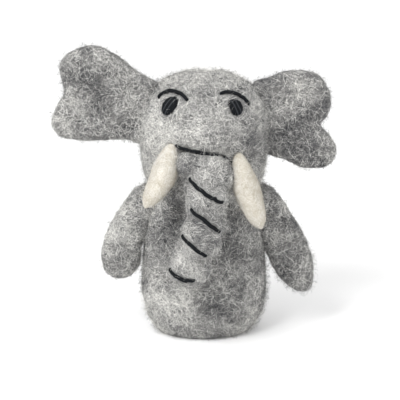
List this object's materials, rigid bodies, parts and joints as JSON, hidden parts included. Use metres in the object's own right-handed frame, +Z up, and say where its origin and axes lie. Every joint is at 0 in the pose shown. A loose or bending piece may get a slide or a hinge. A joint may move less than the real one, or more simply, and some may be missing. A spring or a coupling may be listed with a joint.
{
  "type": "finger puppet",
  "caption": "Elephant finger puppet of felted grey wool with a hollow pouch, flapping ears, arms, cream tusks and a stitched bending trunk.",
  "frame": {"origin": "middle of the puppet's bounding box at the hem, which stands on the floor", "axes": "+Z up from the hem to the head, -Y the way the face looks, +X to the puppet's own left"},
  "size_m": [0.0954, 0.0504, 0.099],
  "materials": {
    "grey_wool": "hairy felted wool, grey melange",
    "light_wool": "hairy felted wool, pale grey melange",
    "cream_wool": "needle-felted wool, undyed cream",
    "black_floss": "six-strand cotton embroidery floss, black"
  },
  "bodies": {
    "body": {"body_pouch": "grey_wool"},
    "head": {"head": "light_wool", "tusk_right": "cream_wool", "tusk_left": "cream_wool", "eye_right": "black_floss", "eye_left": "black_floss", "brow_right": "black_floss", "brow_left": "black_floss", "mouth_stitch": "black_floss"},
    "ear_right": {"ear_right": "grey_wool"},
    "ear_left": {"ear_left": "grey_wool"},
    "arm_right": {"arm_right": "grey_wool"},
    "arm_left": {"arm_left": "grey_wool"},
    "trunk_1": {"trunk_puff_1": "light_wool", "trunk_stitch_1": "black_floss"},
    "trunk_2": {"trunk_puff_2": "light_wool", "trunk_stitch_2": "black_floss"},
    "trunk_3": {"trunk_puff_3": "light_wool", "trunk_stitch_3": "black_floss"},
    "trunk_4": {"trunk_puff_4": "light_wool", "trunk_stitch_4": "black_floss"}
  },
  "joints": [
    {"name": "head_nod", "type": "hinge", "parent": "body", "child": "head", "pos_m": [0.00327, 0.0069, 0.054], "axis": [1, 0, 0], "range_deg": [-18, 2], "stiffness_Nm_per_rad": 0.08},
    {"name": "ear_right_flap", "type": "hinge", "parent": "head", "child": "ear_right", "pos_m": [-0.01873, 0.0079, 0.0685], "axis": [0.1902, 0, 0.9817], "range_deg": [-28, 28], "stiffness_Nm_per_rad": 0.02},
    {"name": "ear_left_flap", "type": "hinge", "parent": "head", "child": "ear_left", "pos_m": [0.02527, 0.0079, 0.0645], "axis": [0.1532, 0, -0.9882], "range_deg": [-28, 28], "stiffness_Nm_per_rad": 0.02},
    {"name": "arm_right_raise", "type": "hinge", "parent": "body", "child": "arm_right", "pos_m": [-0.01733, 0.0064, 0.0465], "axis": [0, 1, 0], "range_deg": [0, 70], "stiffness_Nm_per_rad": 0.02},
    {"name": "arm_left_raise", "type": "hinge", "parent": "body", "child": "arm_left", "pos_m": [0.02387, 0.0064, 0.0465], "axis": [0, -1, 0], "range_deg": [0, 70], "stiffness_Nm_per_rad": 0.02},
    {"name": "trunk_lift", "type": "hinge", "parent": "head", "child": "trunk_1", "pos_m": [0.00367, -0.0123, 0.0618], "axis": [-1, 0, 0], "range_deg": [-2, 45], "stiffness_Nm_per_rad": 0.03},
    {"name": "trunk_sway", "type": "hinge", "parent": "trunk_1", "child": "trunk_2", "pos_m": [0.00387, -0.0169, 0.0554], "axis": [0, 1, 0], "range_deg": [-12, 12], "stiffness_Nm_per_rad": 0.02},
    {"name": "trunk_curl", "type": "hinge", "parent": "trunk_2", "child": "trunk_3", "pos_m": [0.00417, -0.0175, 0.0456], "axis": [-1, 0, 0], "range_deg": [-2, 20], "stiffness_Nm_per_rad": 0.015},
    {"name": "trunk_tip_curl", "type": "hinge", "parent": "trunk_3", "child": "trunk_4", "pos_m": [0.00067, -0.0175, 0.0365], "axis": [-1, 0, 0], "range_deg": [-2, 20], "stiffness_Nm_per_rad": 0.01}
  ]
}
